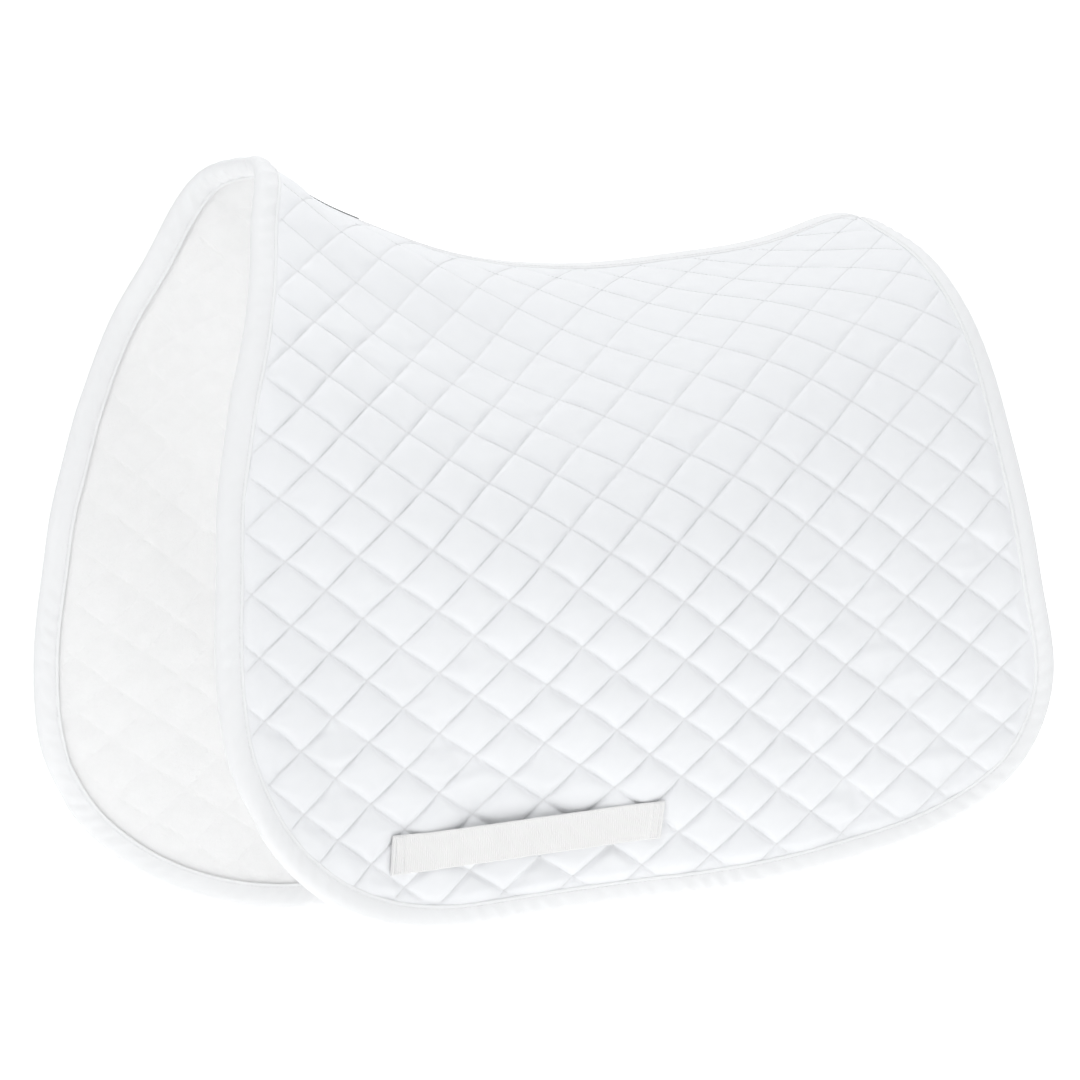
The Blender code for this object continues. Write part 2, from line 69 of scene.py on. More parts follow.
# ------------------------------------------- shape of the draped surface, as in part.py
SPINE_X = (-0.280, -0.237, -0.186, -0.116, -0.046, 0.027, 0.101, 0.177, 0.216, 0.252, 0.284)
SPINE_Z = (0.3087, 0.2808, 0.2586, 0.2366, 0.2274, 0.2285, 0.2374, 0.2498, 0.2620, 0.2715, 0.2640)
NOSE_SLOPE, TAIL_SLOPE = -0.50, -0.12
CUT_X = (-0.28, -0.20, -0.10, 0.0, 0.10, 0.20, 0.28)
CUT_EXTRA = (0.109, 0.111, 0.109, 0.111, 0.116, 0.116, 0.114)
STATION_X = (-0.32, -0.12, 0.08, 0.28)
ARC_T = (0.0, 0.05, 0.10, 0.17, 0.26, 0.38, 0.58)
SLOPE_DEG = ((14, 8, 69, 49, 71, 83, 90),
             (7, 24, 63, 46, 54, 96, 107),
             (10, 26, 24, 46, 71, 92, 104),
             (8, 14, 23, 50, 74, 89, 98))
OFF_HANG, HANG_T = (-0.007, -0.0275, -0.0275), (0.04, 0.50)   # the off flap hangs lower
OUTLINE = ((-0.301, 0.349), (-0.313, 0.314), (-0.324, 0.273), (-0.338, 0.229), (-0.352, 0.186),
           (-0.364, 0.147), (-0.373, 0.109), (-0.381, 0.070), (-0.385, 0.028), (-0.389, -0.015),
           (-0.390, -0.055), (-0.388, -0.089), (-0.382, -0.122), (-0.369, -0.152), (-0.351, -0.180),
           (-0.327, -0.204), (-0.299, -0.224), (-0.265, -0.241), (-0.225, -0.254), (-0.180, -0.262),
           (-0.120, -0.264), (-0.050, -0.263), (0.020, -0.261), (0.091, -0.255), (0.146, -0.247),
           (0.197, -0.237), (0.242, -0.222), (0.279, -0.202), (0.306, -0.176), (0.324, -0.144),
           (0.331, -0.108), (0.328, -0.077), (0.320, -0.042), (0.312, 0.001), (0.304, 0.046),
           (0.295, 0.096), (0.288, 0.146), (0.282, 0.190), (0.276, 0.232), (0.273, 0.272),
           (0.272, 0.310), (0.275, 0.340))
ORIGIN_TAPE = -0.0091           # the frame's origin is under the inner tape at x = 0


def spline(xk, yk, x, s0=None, s1=None):
    """Cubic spline through knots; natural ends or given end slopes; straight beyond."""
    xk = np.asarray(xk, float)
    yk = np.asarray(yk, float)
    n = len(xk)
    h = np.diff(xk)
    A = np.zeros((n, n))
    r = np.zeros((n,) + yk.shape[1:])
    for i in range(1, n - 1):
        A[i, i - 1] = h[i - 1]
        A[i, i] = 2 * (h[i - 1] + h[i])
        A[i, i + 1] = h[i]
        r[i] = 6 * ((yk[i + 1] - yk[i]) / h[i] - (yk[i] - yk[i - 1]) / h[i - 1])
    A[0, 0] = 1
    A[-1, -1] = 1
    if s0 is not None:
        A[0, 0], A[0, 1] = 2 * h[0], h[0]
        r[0] = 6 * ((yk[1] - yk[0]) / h[0] - np.asarray(s0))
    if s1 is not None:
        A[-1, -1], A[-1, -2] = 2 * h[-1], h[-1]
        r[-1] = 6 * (np.asarray(s1) - (yk[-1] - yk[-2]) / h[-1])
    M = np.linalg.solve(A, r)
    x = np.asarray(x, float)
    xc = np.clip(x, xk[0], xk[-1])
    k = np.clip(np.searchsorted(xk, xc, side='right') - 1, 0, n - 2)
    sh = x.shape + (1,) * (yk.ndim - 1)
    a = ((xk[k + 1] - xc) / h[k]).reshape(sh)
    b = ((xc - xk[k]) / h[k]).reshape(sh)
    hh = h[k].reshape(sh)
    v = a * yk[k] + b * yk[k + 1] + ((a ** 3 - a) * M[k] + (b ** 3 - b) * M[k + 1]) * hh * hh / 6
    e0 = (yk[1] - yk[0]) / h[0] - h[0] * (2 * M[0] + M[1]) / 6
    e1 = (yk[-1] - yk[-2]) / h[-1] + h[-1] * (M[-2] + 2 * M[-1]) / 6
    lo = np.minimum(x - xk[0], 0).reshape(sh)
    hi = np.maximum(x - xk[-1], 0).reshape(sh)
    return v + lo * e0 + hi * e1


def spine_z(x):
    x = np.asarray(x, float)
    v = spline(SPINE_X, SPINE_Z, np.clip(x, SPINE_X[0], SPINE_X[-1]), NOSE_SLOPE, -0.5)
    return v + np.minimum(x - SPINE_X[0], 0) * NOSE_SLOPE + np.maximum(x - SPINE_X[-1], 0) * TAIL_SLOPE


def cut_w(x):
    return spine_z(x) + spline(CUT_X, CUT_EXTRA, np.clip(x, -0.36, 0.34))


TX = np.linspace(-0.46, 0.42, 177)
DTT = 0.0025
TT = np.arange(0, 0.80, DTT)


def arch_tables():
    tm = TT[:-1] + DTT / 2
    rows = np.radians(np.array([np.interp(tm, ARC_T, s) for s in SLOPE_DEG]))
    k = 17
    pad = np.concatenate([np.repeat(rows[:, :1], k, 1), rows, np.repeat(rows[:, -1:], k, 1)], 1)
    for _ in range(2):
        c = np.cumsum(np.concatenate([np.zeros((4, 1)), pad], 1), 1)
        w = k // 2
        sm = pad.copy()
        sm[:, w:-w] = (c[:, k:] - c[:, :-k]) / k
        pad = sm
    phi = spline(STATION_X, pad[:, k:-k], np.clip(TX, -0.36, 0.34))
    zero = np.zeros((len(TX), 1))
    Y = np.concatenate([zero, np.cumsum(np.cos(phi), 1) * DTT], 1)
    D = np.concatenate([zero, np.cumsum(np.sin(phi), 1) * DTT], 1)
    return Y, D, phi


ARCH_Y, ARCH_D, ARCH_PHI = arch_tables()


def look(tab, x, t):
    fx = np.clip((np.asarray(x) - TX[0]) / (TX[1] - TX[0]), 0, len(TX) - 1.0001)
    ft = np.clip(np.asarray(t) / DTT, 0, tab.shape[1] - 1.0001)
    i = fx.astype(int)
    j = ft.astype(int)
    u = fx - i
    v = ft - j
    return (tab[i, j] * (1 - u) + tab[i + 1, j] * u) * (1 - v) + (tab[i, j + 1] * (1 - u) + tab[i + 1, j + 1] * u) * v


ORIGIN_Z = float(spine_z(0.0) + ORIGIN_TAPE / np.cos(look(ARCH_PHI, 0.0, 0.0)))


def smooth(a, b, x):
    t = np.clip((x - a) / (b - a), 0, 1)
    return t * t * (3 - 2 * t)


def drape(x, t):
    """The cloth's slow unevenness, shared by every layer (metres, along the normal)."""
    w = (0.45 * np.sin(38 * x + 17 * t + 1.1) + 0.35 * np.sin(-23 * x + 34 * t + 2.3)
         + 0.25 * np.sin(61 * x - 42 * t + 0.4))
    return 0.0011 * w * smooth(0.03, 0.16, t)


def face(x, t, side):
    """The pad's outer face at (x, arc length t), with the ridge rounded off.
    Negative t runs over the ridge to the other side."""
    x, t = np.broadcast_arrays(np.asarray(x, float), np.asarray(t, float))
    ta = np.abs(t)
    yy = look(ARCH_Y, x, ta)
    round_off = np.tan(look(ARCH_PHI, x, 0 * ta)) * (np.sqrt(yy ** 2 + RIDGE_R ** 2) - yy)
    z = spine_z(x) - look(ARCH_D, x, ta) - round_off - ORIGIN_Z
    p = np.stack([x, side * np.sign(t + 1e-12) * yy, z], -1)
    off = (side * np.sign(t + 1e-12) > 0) * smooth(HANG_T[0], HANG_T[1], ta)
    return p + off[..., None] * np.array(OFF_HANG)


def lift(x, t, side, level):
    """Points and normals at a height over the outer face."""
    h = 0.003
    x, t, level = np.broadcast_arrays(np.asarray(x, float), np.asarray(t, float), np.asarray(level, float))
    n = np.cross(face(x + h, t, side) - face(x - h, t, side), face(x, t + h, side) - face(x, t - h, side)) * side
    n /= np.linalg.norm(n, axis=-1, keepdims=True)
    return face(x, t, side) + n * (level + drape(x, t))[..., None], n


def on_pad(xw, side, level):
    """Points at pattern positions (x, w) of the flat cut panel."""
    x = xw[..., 0]
    return lift(x, cut_w(x) - xw[..., 1], side, level)


# ------------------------------------------------------------- the cut outline
EDGE_X0, EDGE_X1 = -0.2798, 0.2868
PATH = np.array(((EDGE_X0, float(cut_w(EDGE_X0))),) + OUTLINE + ((EDGE_X1, float(cut_w(EDGE_X1))),))
PATH_S = np.concatenate([[0], np.cumsum(np.linalg.norm(np.diff(PATH, axis=0), axis=1))])
PATH_L = float(PATH_S[-1])


def path_point(s):
    return spline(PATH_S, PATH, np.asarray(s, float), (-0.45, -0.89), (0.22, 0.97))


def inward(s):
    """Unit direction into the panel; along the ridge where the edge meets it."""
    s = np.asarray(s, float)
    a, b = np.clip(s - 0.002, 0, PATH_L), np.clip(s + 0.002, 0, PATH_L)
    d = path_point(b) - path_point(a)
    d /= np.linalg.norm(d, axis=-1, keepdims=True)
    n = np.stack([-d[..., 1], d[..., 0]], -1)
    for end, sg in ((0.0, 1.0), (PATH_L, -1.0)):
        x = path_point(s)[..., 0]
        slope = (cut_w(x + 0.004) - cut_w(x - 0.004)) / 0.008
        r = np.stack([np.ones_like(slope), slope], -1) * sg
        r /= np.linalg.norm(r, axis=-1, keepdims=True)
        k = (1 - smooth(0.0, 0.060, np.abs(s - end)))[..., None]
        n = n * (1 - k) + r * k
    return n / np.linalg.norm(n, axis=-1, keepdims=True)


def inset(s, d):
    return path_point(s) + inward(s) * np.asarray(d, float)[..., None]


FINE_S = np.linspace(0, PATH_L, 1500)
FINE_P = path_point(FINE_S)


def edge_distance(xw):
    """Signed distance inwards from the outline on the flat panel."""
    q = xw.reshape(-1, 2)
    out = np.zeros(len(q))
    a, b = FINE_P[:-1], FINE_P[1:]
    e = b - a
    L2 = (e ** 2).sum(1)
    for i in range(0, len(q), 2000):
        p = q[i:i + 2000, None, :]
        u = np.clip(((p - a) * e).sum(-1) / L2, 0, 1)
        c = a + u[..., None] * e - p
        dd = (c ** 2).sum(-1)
        k = dd.argmin(1)
        r = np.arange(len(k))
        v = -c[r, k]
        cr = e[k, 0] * v[:, 1] - e[k, 1] * v[:, 0]
        out[i:i + 2000] = np.sqrt(dd[r, k]) * np.sign(cr)
    return out.reshape(xw.shape[:-1])


def lattice(a, b):
    """Quilting coordinates to the flat panel; whole numbers lie on the stitch lines."""
    X, W = (a + b) * QUILT_P / 2, (a - b) * QUILT_Q / 2
    c, s = math.cos(QUILT_TILT), math.sin(QUILT_TILT)
    return np.stack([QUILT_X0 + c * X - s * W, QUILT_W0 + s * X + c * W], -1)


# --------------------------------------------------------------------- meshes
def mesh_object(name, V, F, mat, uv=None, smooth_shade=True):
    """A mesh from arrays of points and of quads or triangles, with flat-pattern UVs."""
    V = np.ascontiguousarray(V, np.float32).reshape(-1, 3)
    F = np.asarray(F, np.int32)
    me = bpy.data.meshes.new(name)
    k = F.shape[1]
    me.vertices.add(len(V))
    me.vertices.foreach_set("co", V.ravel())
    me.loops.add(len(F) * k)
    me.loops.foreach_set("vertex_index", F.ravel())
    me.polygons.add(len(F))
    me.polygons.foreach_set("loop_start", np.arange(0, len(F) * k, k, dtype=np.int32))
    me.polygons.foreach_set("loop_total", np.full(len(F), k, np.int32))
    me.update(calc_edges=True)
    if smooth_shade:
        me.polygons.foreach_set("use_smooth", np.ones(len(F), bool))
    if uv is not None:
        layer = me.uv_layers.new(name="flat")
        layer.data.foreach_set("uv", np.asarray(uv, np.float32).reshape(-1, 2)[F.ravel()].ravel())
    me.validate()
    me.materials.append(mat)
    ob = bpy.data.objects.new(name, me)
    bpy.context.scene.collection.objects.link(ob)
    return ob


def sweep(loops, closed_section=True, flip=False, uv=None):
    """Quads between rows of points (rows x section x 3), wrapping round closed sections; the ends are left open."""
    L = np.asarray(loops, float)
    n, m = L.shape[:2]
    idx = np.arange(n * m).reshape(n, m)
    if closed_section:
        nxt = np.roll(idx, -1, axis=1)
    else:
        nxt = idx[:, 1:]
        idx = idx[:, :-1]
    F = np.stack([idx[:-1], nxt[:-1], nxt[1:], idx[1:]], -1).reshape(-1, 4)
    if flip:
        F = F[:, ::-1]
    return L.reshape(-1, 3), F


def outward_faces(ob):
    me = ob.data
    bm = bmesh.new()
    bm.from_mesh(me)
    bmesh.ops.recalc_face_normals(bm, faces=bm.faces)
    bm.to_mesh(me)
    bm.free()
    me.update()


def drape_with(ob):
    """Fabric of one flap: its placement is baked into the mesh."""
    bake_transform(ob)
    return ob


# ------------------------------------------------------------------ materials
class Nodes:
    """Small helper round a material's node tree."""

    def __init__(self, name):
        self.mat = bpy.data.materials.new(name)
        self.mat.use_nodes = True
        self.t = self.mat.node_tree
        self.bsdf = self.t.nodes["Principled BSDF"]

    def add(self, kind, **inputs):
        n = self.t.nodes.new(kind)
        for k, v in inputs.items():
            key = k.replace("_", " ")
            if key in n.inputs:
                n.inputs[key].default_value = v
            else:
                setattr(n, k, v)
        return n

    def link(self, a, b):
        self.t.links.new(a, b)

    def math(self, op, a, b=None):
        n = self.t.nodes.new("ShaderNodeMath")
        n.operation = op
        for i, v in enumerate((a, b)):
            if v is None:
                continue
            if isinstance(v, (int, float)):
                n.inputs[i].default_value = v
            else:
                self.link(v, n.inputs[i])
        return n.outputs[0]


def woven(name, color, pitch, tint=(0.0, 0.0, 0.0), rough=0.85, sheen=0.25, depth=0.00006, ribs=False,
          fuzz=0.0, vary=0.02, soft=0.0):
    """Cloth: warp and weft threads at the given pitch over the flat pattern, slight
    unevenness of the yarn, and an optional brushed fuzz."""
    N = Nodes(name)
    uv = N.add("ShaderNodeUVMap", uv_map="flat")
    geo = N.add("ShaderNodeTexCoord")
    sep = N.add("ShaderNodeSeparateXYZ")
    N.link(uv.outputs["UV"], sep.inputs[0])
    k = 2 * math.pi / pitch
    warp = N.math("SINE", N.math("MULTIPLY", sep.outputs[0], k))
    weft = N.math("SINE", N.math("MULTIPLY", sep.outputs[1], k))
    weave = N.math("MULTIPLY", warp, weft) if not ribs else N.math("MULTIPLY", warp, 1.0)
    yarn = N.add("ShaderNodeTexNoise", Scale=900.0, Detail=2.0, Roughness=0.6)
    slub = N.add("ShaderNodeTexNoise", Scale=70.0, Detail=3.0, Roughness=0.55)
    N.link(geo.outputs["Object"], yarn.inputs["Vector"])
    N.link(geo.outputs["Object"], slub.inputs["Vector"])
    height = N.math("ADD", N.math("MULTIPLY", weave, 0.5), N.math("MULTIPLY", yarn.outputs["Fac"], 1.3))
    if fuzz:
        nap = N.add("ShaderNodeTexNoise", Scale=330.0, Detail=4.0, Roughness=0.75)
        N.link(geo.outputs["Object"], nap.inputs["Vector"])
        height = N.math("ADD", height, N.math("MULTIPLY", nap.outputs["Fac"], fuzz))
    bump = N.add("ShaderNodeBump", Strength=1.0, Distance=depth)
    N.link(height, bump.inputs["Height"])
    N.link(bump.outputs["Normal"], N.bsdf.inputs["Normal"])
    ramp = N.add("ShaderNodeMixRGB")
    ramp.blend_type = "MIX"
    lo = [max(c * (1 - 2 * vary) + t, 0) for c, t in zip(color, tint)]
    ramp.inputs[1].default_value = (*lo, 1)
    ramp.inputs[2].default_value = (*color, 1)
    mixf = N.math("ADD", N.math("MULTIPLY", slub.outputs["Fac"], 0.9), N.math("MULTIPLY", yarn.outputs["Fac"], 0.3))
    N.link(mixf, ramp.inputs[0])
    N.link(ramp.outputs[0], N.bsdf.inputs["Base Color"])
    N.bsdf.inputs["Roughness"].default_value = rough
    N.bsdf.inputs["Sheen Weight"].default_value = sheen
    N.bsdf.inputs["Sheen Roughness"].default_value = 0.55
    N.bsdf.inputs["Specular IOR Level"].default_value = 0.25
    if soft:
        N.bsdf.inputs["Subsurface Weight"].default_value = soft
        N.bsdf.inputs["Subsurface Radius"].default_value = (0.004, 0.004, 0.0045)
    return N.mat


cotton = woven("white_cotton_drill", (0.875, 0.882, 0.895), 0.0009, depth=0.00007, sheen=0.2)
lining_m = woven("brushed_cotton_lining", (0.930, 0.928, 0.925), 0.0012, depth=0.00016, sheen=0.5, fuzz=2.2, vary=0.03, rough=0.95)
binding_m = woven("cotton_twill_binding", (0.885, 0.888, 0.892), 0.0007, depth=0.00006, sheen=0.2)
tape_m = woven("cotton_spine_tape", (0.880, 0.882, 0.886), 0.0008, depth=0.00006, sheen=0.15)
webbing_m = woven("ribbed_keeper_webbing", (0.845, 0.838, 0.832), 0.0007, depth=0.00005, sheen=0.15, vary=0.03)
thread_m = woven("white_sewing_thread", (0.860, 0.862, 0.866), 0.0005, depth=0.00003, sheen=0.1, rough=0.6)
label_m = woven("dark_woven_label", (0.050, 0.054, 0.068), 0.0006, depth=0.00008, sheen=0.3, vary=0.2, rough=0.8)

# -------------------------------------------------------------- quilted panels
HALF_STRAP = STRAP_WIDTH / 2


def strap_seat(x, w):
    """1 under the sewn ends of the webbing, 0 away from them."""
    over = smooth(HALF_STRAP + 0.006, HALF_STRAP - 0.001, np.abs(w - STRAP_W))
    a = smooth(STRAP_X[0] - 0.006, STRAP_X[0] + 0.001, x) * smooth(STRAP_X[0] + STRAP_TAB + 0.007, STRAP_X[0] + STRAP_TAB, x)
    b = smooth(STRAP_X[1] + 0.006, STRAP_X[1] - 0.001, x) * smooth(STRAP_X[1] - STRAP_TAB - 0.007, STRAP_X[1] - STRAP_TAB, x)
    return over * np.maximum(a, b)


def under_strap(x, w):
    """1 under the webbing, which presses the quilting down, 0 away from it."""
    over = smooth(HALF_STRAP + 0.024, HALF_STRAP - 0.002, np.abs(w - STRAP_W))
    return over * smooth(STRAP_X[0] - 0.005, STRAP_X[0] + 0.002, x) * smooth(STRAP_X[1] + 0.005, STRAP_X[1] - 0.002, x)


def hash01(i, j, k=0):
    v = np.sin(i * 127.1 + j * 311.7 + k * 74.7) * 43758.5453
    return v - np.floor(v)


def seam_wobble(a, b):
    """Small wander of the stitch lines, in quilting coordinates."""
    return (0.012 * np.sin(2.3 * a + 1.7 * b) + 0.010 * np.sin(1.3 * b - 3.1 * a + 1.0),
            0.012 * np.sin(2.1 * b + 1.9 * a + 2.0) + 0.010 * np.sin(1.1 * a - 2.9 * b))


def quilt_grid(n, trim_edge, trim_top):
    """Fine lattice over the flap, finer beside the stitch lines, cut to the outline."""
    lo, hi = -18, 18
    m = (hi - lo) * n + 1
    g = np.arange(m)
    u = (g % n) / n
    u = g // n + lo + u - 0.42 * np.sin(2 * np.pi * u) / (2 * np.pi)
    A, B = np.meshgrid(u, u, indexing="ij")
    da, db = seam_wobble(A, B)
    xw = lattice(A + da, B + db)
    x, w = xw[..., 0], xw[..., 1]
    t = cut_w(x) - w
    keep = (x > -0.40) & (x < 0.345) & (w > -0.275) & (t > trim_top)
    d = np.full(A.shape, -1.0)
    d[keep] = edge_distance(xw[keep])
    keep &= d > trim_edge
    quad = keep[:-1, :-1] & keep[1:, :-1] & keep[1:, 1:] & keep[:-1, 1:]
    idx = np.arange(m * m).reshape(m, m)
    F = np.stack([idx[:-1, :-1], idx[1:, :-1], idx[1:, 1:], idx[:-1, 1:]], -1)[quad]
    used = np.unique(F)
    remap = np.full(m * m, -1)
    remap[used] = np.arange(len(used))
    sel = lambda arr: arr.reshape(m * m, *arr.shape[2:])[used]
    ga, gb = np.meshgrid(g, g, indexing="ij")
    return {"F": remap[F], "A": sel(A), "B": sel(B), "xw": sel(xw), "t": sel(t), "d": sel(d),
            "sa": sel(ga) % n == 0, "sb": sel(gb) % n == 0, "ga": sel(ga), "gb": sel(gb)}


def pillow(Q, power):
    u, v = Q["A"] - np.floor(Q["A"]), Q["B"] - np.floor(Q["B"])
    return np.clip(16 * u * (1 - u) * v * (1 - v), 0, 1) ** power


def held_flat(Q, tape=True):
    """How free the cloth is to puff: 0 under the binding and tape, 1 in the open."""
    free = smooth(BIND_W - 0.0005, BIND_W + 0.0085, Q["d"])
    free *= smooth(TAPE_T - 0.0015, TAPE_T + 0.0085, Q["t"])
    return free


def puff_gain(Q):
    ia, ib = np.floor(Q["A"] + 1e-6), np.floor(Q["B"] + 1e-6)
    r = 0.86 + 0.28 * hash01(ia, ib)
    return r


QN = 8
Q = quilt_grid(QN, 0.0075, 0.0020)
print("quilt grid", len(Q["A"]), "points", len(Q["F"]), "quads")


def relief(x, t):
    """The quilting stands fullest low on the flap and is drawn flatter over the back."""
    return 0.42 + 0.55 * smooth(0.08, 0.34, t) * (1 - 0.38 * smooth(0.02, 0.24, x))


def cover_levels(Q):
    free = held_flat(Q)
    seat = strap_seat(Q["xw"][:, 0], Q["xw"][:, 1])
    p = pillow(Q, 0.50) * PUFF * puff_gain(Q)
    q = BORDER + free * relief(Q["xw"][:, 0], Q["t"]) * (SEAM_LEVEL - BORDER + p)
    q = q - under_strap(Q["xw"][:, 0], Q["xw"][:, 1]) * np.maximum(q - STRAP_GAP + 0.0004, 0)
    return q - seat * np.maximum(q + 0.0004, 0)


def seam_edges(ob, Q):
    """Creases along the stitch lines keep them crisp when the cloth is smoothed."""
    me = ob.data
    ev = np.zeros(len(me.edges) * 2, np.int32)
    me.edges.foreach_get("vertices", ev)
    ev = ev.reshape(-1, 2)
    on = (Q["sa"][ev[:, 0]] & Q["sa"][ev[:, 1]] & (Q["ga"][ev[:, 0]] == Q["ga"][ev[:, 1]])) | \
         (Q["sb"][ev[:, 0]] & Q["sb"][ev[:, 1]] & (Q["gb"][ev[:, 0]] == Q["gb"][ev[:, 1]]))
    at = me.attributes.new("crease_edge", "FLOAT", "EDGE")
    at.data.foreach_set("value", np.where(on, 0.75, 0.0).astype(np.float32))


def subdivided(ob, levels=1):
    m = ob.modifiers.new("smooth", "SUBSURF")
    m.levels = m.render_levels = levels
    m.uv_smooth = "PRESERVE_BOUNDARIES"
    return ob


def relax_cloth(ob, pinned, frames=14, cap=0.004):
    """Cloth with its stitch lines held: a little spare cloth and the fill's pressure
    round each diamond out and pucker it along the stitching. The result is applied."""
    group = ob.vertex_groups.new(name="stitched")
    group.add([int(i) for i in np.nonzero(pinned)[0]], 1.0, "REPLACE")
    start = np.zeros(len(ob.data.vertices) * 3, np.float32)
    ob.data.vertices.foreach_get("co", start)
    m = ob.modifiers.new("cloth", "CLOTH")
    s = m.settings
    s.quality = 4
    s.mass = 0.12
    s.tension_stiffness = s.compression_stiffness = 12
    s.shear_stiffness = 4
    s.bending_stiffness = 0.08
    s.tension_damping = s.compression_damping = 8
    s.shear_damping = 5
    s.vertex_group_mass = "stitched"
    s.pin_stiffness = 1.0
    s.use_pressure = True
    s.uniform_pressure_force = 2.2
    s.shrink_min = -0.035
    s.effector_weights.gravity = 0.0
    m.collision_settings.use_collision = False
    m.point_cache.frame_start, m.point_cache.frame_end = 1, frames
    scene = bpy.context.scene
    for f in range(1, frames + 1):
        scene.frame_set(f)
    dg = bpy.context.evaluated_depsgraph_get()
    ev = ob.evaluated_get(dg)
    out = np.zeros_like(start)
    ev.data.vertices.foreach_get("co", out)
    ob.modifiers.remove(m)
    ob.vertex_groups.clear()
    scene.frame_set(1)
    p0, p1 = start.reshape(-1, 3), out.reshape(-1, 3)
    move = p1 - p0
    dist = np.linalg.norm(move, axis=1, keepdims=True)
    move *= np.minimum(1.0, cap / np.maximum(dist, 1e-9))
    ob.data.vertices.foreach_set("co", (p0 + move).ravel())
    ob.data.update()
    return move


def make_cover(side, tag):
    lv = cover_levels(Q)
    V, nrm = on_pad(Q["xw"], side, lv)
    F = Q["F"] if side < 0 else Q["F"][:, ::-1]
    ob = mesh_object("quilted_cover_" + tag, V, F, cotton, uv=Q["xw"])
    return ob, V, nrm


cover_move = None
for tag, side in (("left", -1), ("right", 1)):
    ob, V, nrm = make_cover(side, tag)
    if side < 0:
        pinned = Q["sa"] | Q["sb"] | (held_flat(Q) < 0.05) | (strap_seat(Q["xw"][:, 0], Q["xw"][:, 1]) > 0.3)
        import time
        t0 = time.time()
        cover_move = relax_cloth(ob, pinned) * relief(Q["xw"][:, 0], Q["t"])[:, None]
        cover_move *= 1 - under_strap(Q["xw"][:, 0], Q["xw"][:, 1])[:, None]
        ob.data.vertices.foreach_set("co", (V.astype(np.float32) + cover_move).astype(np.float32).ravel())
        ob.data.update()
        print("cloth", round(time.time() - t0, 1), "s, largest move", float(np.linalg.norm(cover_move, axis=1).max()))
    elif cover_move is not None:
        mv = cover_move * np.array([1, -1, 1])
        ob.data.vertices.foreach_set("co", (V.astype(np.float32) + mv).astype(np.float32).ravel())
        ob.data.update()
    seam_edges(ob, Q)
    subdivided(ob, 1)
    drape_with(ob)
    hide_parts("outer_cover_" + tag, "wadding_" + tag)

    # lining: the same stitch lines, in low relief on the inside
    free = held_flat(Q)
    lv = -0.0062 * (1 - free) + free * (LINING_SEAM - LINING_PUFF * pillow(Q, 0.55) * puff_gain(Q))
    V, nrm = on_pad(Q["xw"], side, lv)
    F = Q["F"][:, ::-1] if side < 0 else Q["F"]
    ob = mesh_object("brushed_lining_" + tag, V, F, lining_m, uv=Q["xw"])
    seam_edges(ob, Q)
    subdivided(ob, 1)
    drape_with(ob)
    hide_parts("lining_" + tag)

# --------------------------------------------------------------------- binding
#       distance in from the edge, height over the pad's outer face (mm)
BIND_SECTION = ((20.0, -1.0), (20.4, -0.3), (20.0, 0.35), (18.8, 0.80), (17.6, 0.45), (16.8, 0.45), (15.6, 0.95), (13.0, 1.65),
                (9.5, 2.0), (6.0, 1.65), (3.4, 0.7), (1.4, -0.9), (0.25, -3.0), (0.0, -4.2), (0.25, -5.6), (1.4, -7.6),
                (3.4, -9.0), (6.0, -9.9), (9.5, -10.2), (13.0, -10.0), (15.6, -9.4), (16.8, -9.0), (17.6, -9.05),
                (18.8, -9.5), (19.9, -9.3), (20.3, -8.6), (20.0, -7.9),
                (19.0, -8.0), (13.0, -8.7), (7.0, -8.4), (4.2, -6.6), (3.4, -4.2), (4.2, -1.6), (7.0, 0.2), (13.0, 0.5), (19.0, -0.2))


def bind_levels(s, d, lv):
    """Diagonal puckers where the folded strip is drawn tight by its stitching."""
    on = np.clip(np.sin(np.pi * np.clip(d / 0.0185, 0, 1)), 0, 1)
    amp = 0.55 + 0.45 * np.sin(9.0 * s + 1.0) * np.sin(23.0 * s)
    lam = 0.0155 + 0.003 * np.sin(14 * s)
    ph = 2 * np.pi * (s + np.where(lv > -0.004, 0.75, -0.75) * d) / 0.0155 + 1.4 * np.sin(31 * s) + 0.9 * np.sin(77 * s + 2)
    ridge = np.sin(ph) + 0.35 * np.sin(2.1 * ph + 1.3)
    crest = 1.0 + 1.1 * smooth(0.11, 0.04, s)
    return 0.00075 * amp * crest * on * ridge


for tag, side in (("left", -1), ("right", 1)):
    n = 780
    S = np.linspace(0, PATH_L, n)
    sec = np.array(BIND_SECTION) / 1000.0
    d = np.broadcast_to(sec[:, 0], (n, len(sec)))
    lv = np.broadcast_to(sec[:, 1], (n, len(sec))).copy()
    ss = np.broadcast_to(S[:, None], d.shape)
    outer = np.arange(len(sec)) < 27
    pk = bind_levels(ss, d, lv) * outer
    lv = lv + np.where(lv > -0.0042, pk, -pk)
    d = d - 0.25 * np.abs(pk) * outer
    xw = inset(ss, d)
    P, _ = on_pad(xw, side, lv)
    V, F = sweep(P)
    m = len(sec)
    F = F.tolist()
    # caps at the ridge
    for row, fl in ((0, False), (n - 1, True)):
        ring = [(k, m - 1 - k) for k in range(0, m // 2)]
        for (a, b), (c, e) in zip(ring[:-1], ring[1:]):
            q = [row * m + a, row * m + b, row * m + e, row * m + c]
            F.append(q[::-1] if fl else q)
    arc = np.concatenate([[0], np.cumsum(np.linalg.norm(np.diff(sec, axis=0), axis=1))])
    uv = np.stack([ss + arc[None, :] * 0.0, np.broadcast_to(arc, ss.shape)], -1)
    r2 = math.sqrt(0.5)
    uv = np.stack([(uv[..., 0] + uv[..., 1]) * r2, (uv[..., 0] - uv[..., 1]) * r2], -1)  # cut on the bias
    ob = mesh_object("bound_edge_" + tag, V, F, binding_m, uv=uv)
    outward_faces(ob)
    subdivided(ob, 1)
    drape_with(ob)
    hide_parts("edge_binding_" + tag)


